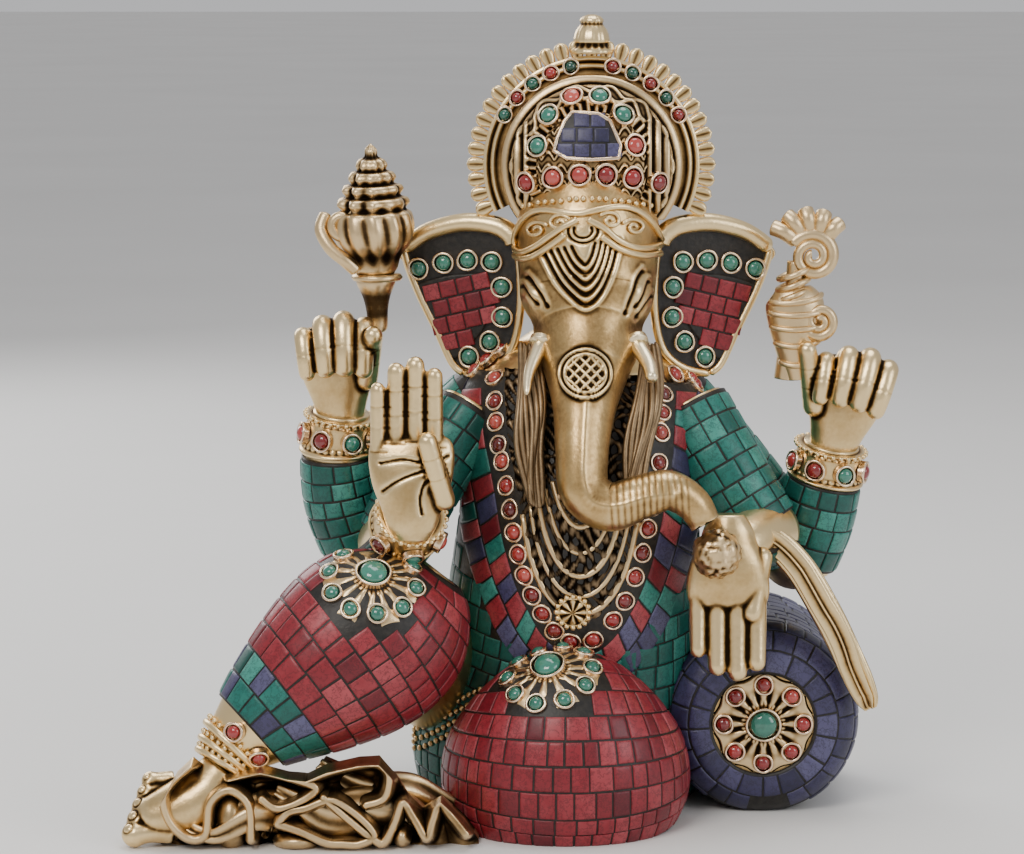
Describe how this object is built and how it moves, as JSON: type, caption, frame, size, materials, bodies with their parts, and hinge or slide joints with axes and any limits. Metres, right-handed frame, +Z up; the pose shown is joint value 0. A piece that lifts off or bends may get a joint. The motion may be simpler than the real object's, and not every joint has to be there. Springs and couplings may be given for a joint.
{
  "type": "idol statue",
  "caption": "Seated four-armed elephant-headed idol: cast brass figure over a bolster, inlaid with stone chips and round cabochons, standing on its flat underside",
  "frame": {"origin": "centre of the figure's footprint on its flat underside", "axes": "-Y is the front of the figure, +Z is up, +X is the viewer's right"},
  "size_m": [0.2121, 0.1039, 0.222],
  "materials": {
    "brass": "polished high spots over dark patina",
    "aged_brass": "antique brass, dark in the recesses",
    "bezel_wire": "bright soldered wire",
    "coral_stone": "polished coral-red stone chips in black lac",
    "turquoise_stone": "polished green turquoise chips in black lac",
    "lapis_stone": "polished violet-blue lapis chips in black lac",
    "red_cabochon": "glossy domed red stone",
    "black_lac": "black lac filling the joints between the chips",
    "green_cabochon": "glossy domed dark green stone"
  },
  "bodies": {
    "root": {"base_plate": "brass", "torso_casting": "brass", "torso_chips": "turquoise_stone", "border_chips": "coral_stone", "collar_bezels": "bezel_wire", "collar_stones": "red_cabochon", "throat_bands": "aged_brass", "pendant": "aged_brass", "hair_locks": "aged_brass", "head_casting": "brass", "brow_band": "brass", "right_tusk": "brass", "left_tusk": "brass", "crown_dome": "brass", "crown_halo": "aged_brass", "crown_finial": "brass", "crown_bezels": "bezel_wire", "crown_stones": "red_cabochon", "crown_plaque": "lapis_stone", "right_ear": "brass", "left_ear": "brass", "right_ear_chips": "coral_stone", "left_ear_chips": "coral_stone", "ear_bezels": "bezel_wire", "ear_stones": "green_cabochon", "rear_right_arm": "brass", "rear_right_chips": "turquoise_stone", "rear_right_cuff": "brass", "rear_right_hand": "brass", "conch": "aged_brass", "rear_left_arm": "brass", "rear_left_chips": "turquoise_stone", "rear_left_cuff": "brass", "rear_left_hand": "brass", "axe": "aged_brass", "front_right_arm": "brass", "front_right_chips": "turquoise_stone", "front_right_cuff": "brass", "front_right_hand": "brass", "front_left_arm": "brass", "front_left_chips": "turquoise_stone", "front_left_hand": "brass", "sweet": "brass", "scarf": "brass", "cuff_bezels": "bezel_wire", "cuff_stones": "red_cabochon", "right_leg": "brass", "right_leg_chips": "coral_stone", "ankle_rings": "aged_brass", "right_foot": "brass", "left_leg": "brass", "left_leg_chips": "coral_stone", "bolster": "brass", "bolster_cap": "brass", "bolster_chips": "lapis_stone", "rosette_settings": "bezel_wire", "rosette_red_stones": "red_cabochon", "rosette_green_stones": "green_cabochon", "drapery": "aged_brass"}
  },
  "joints": []
}
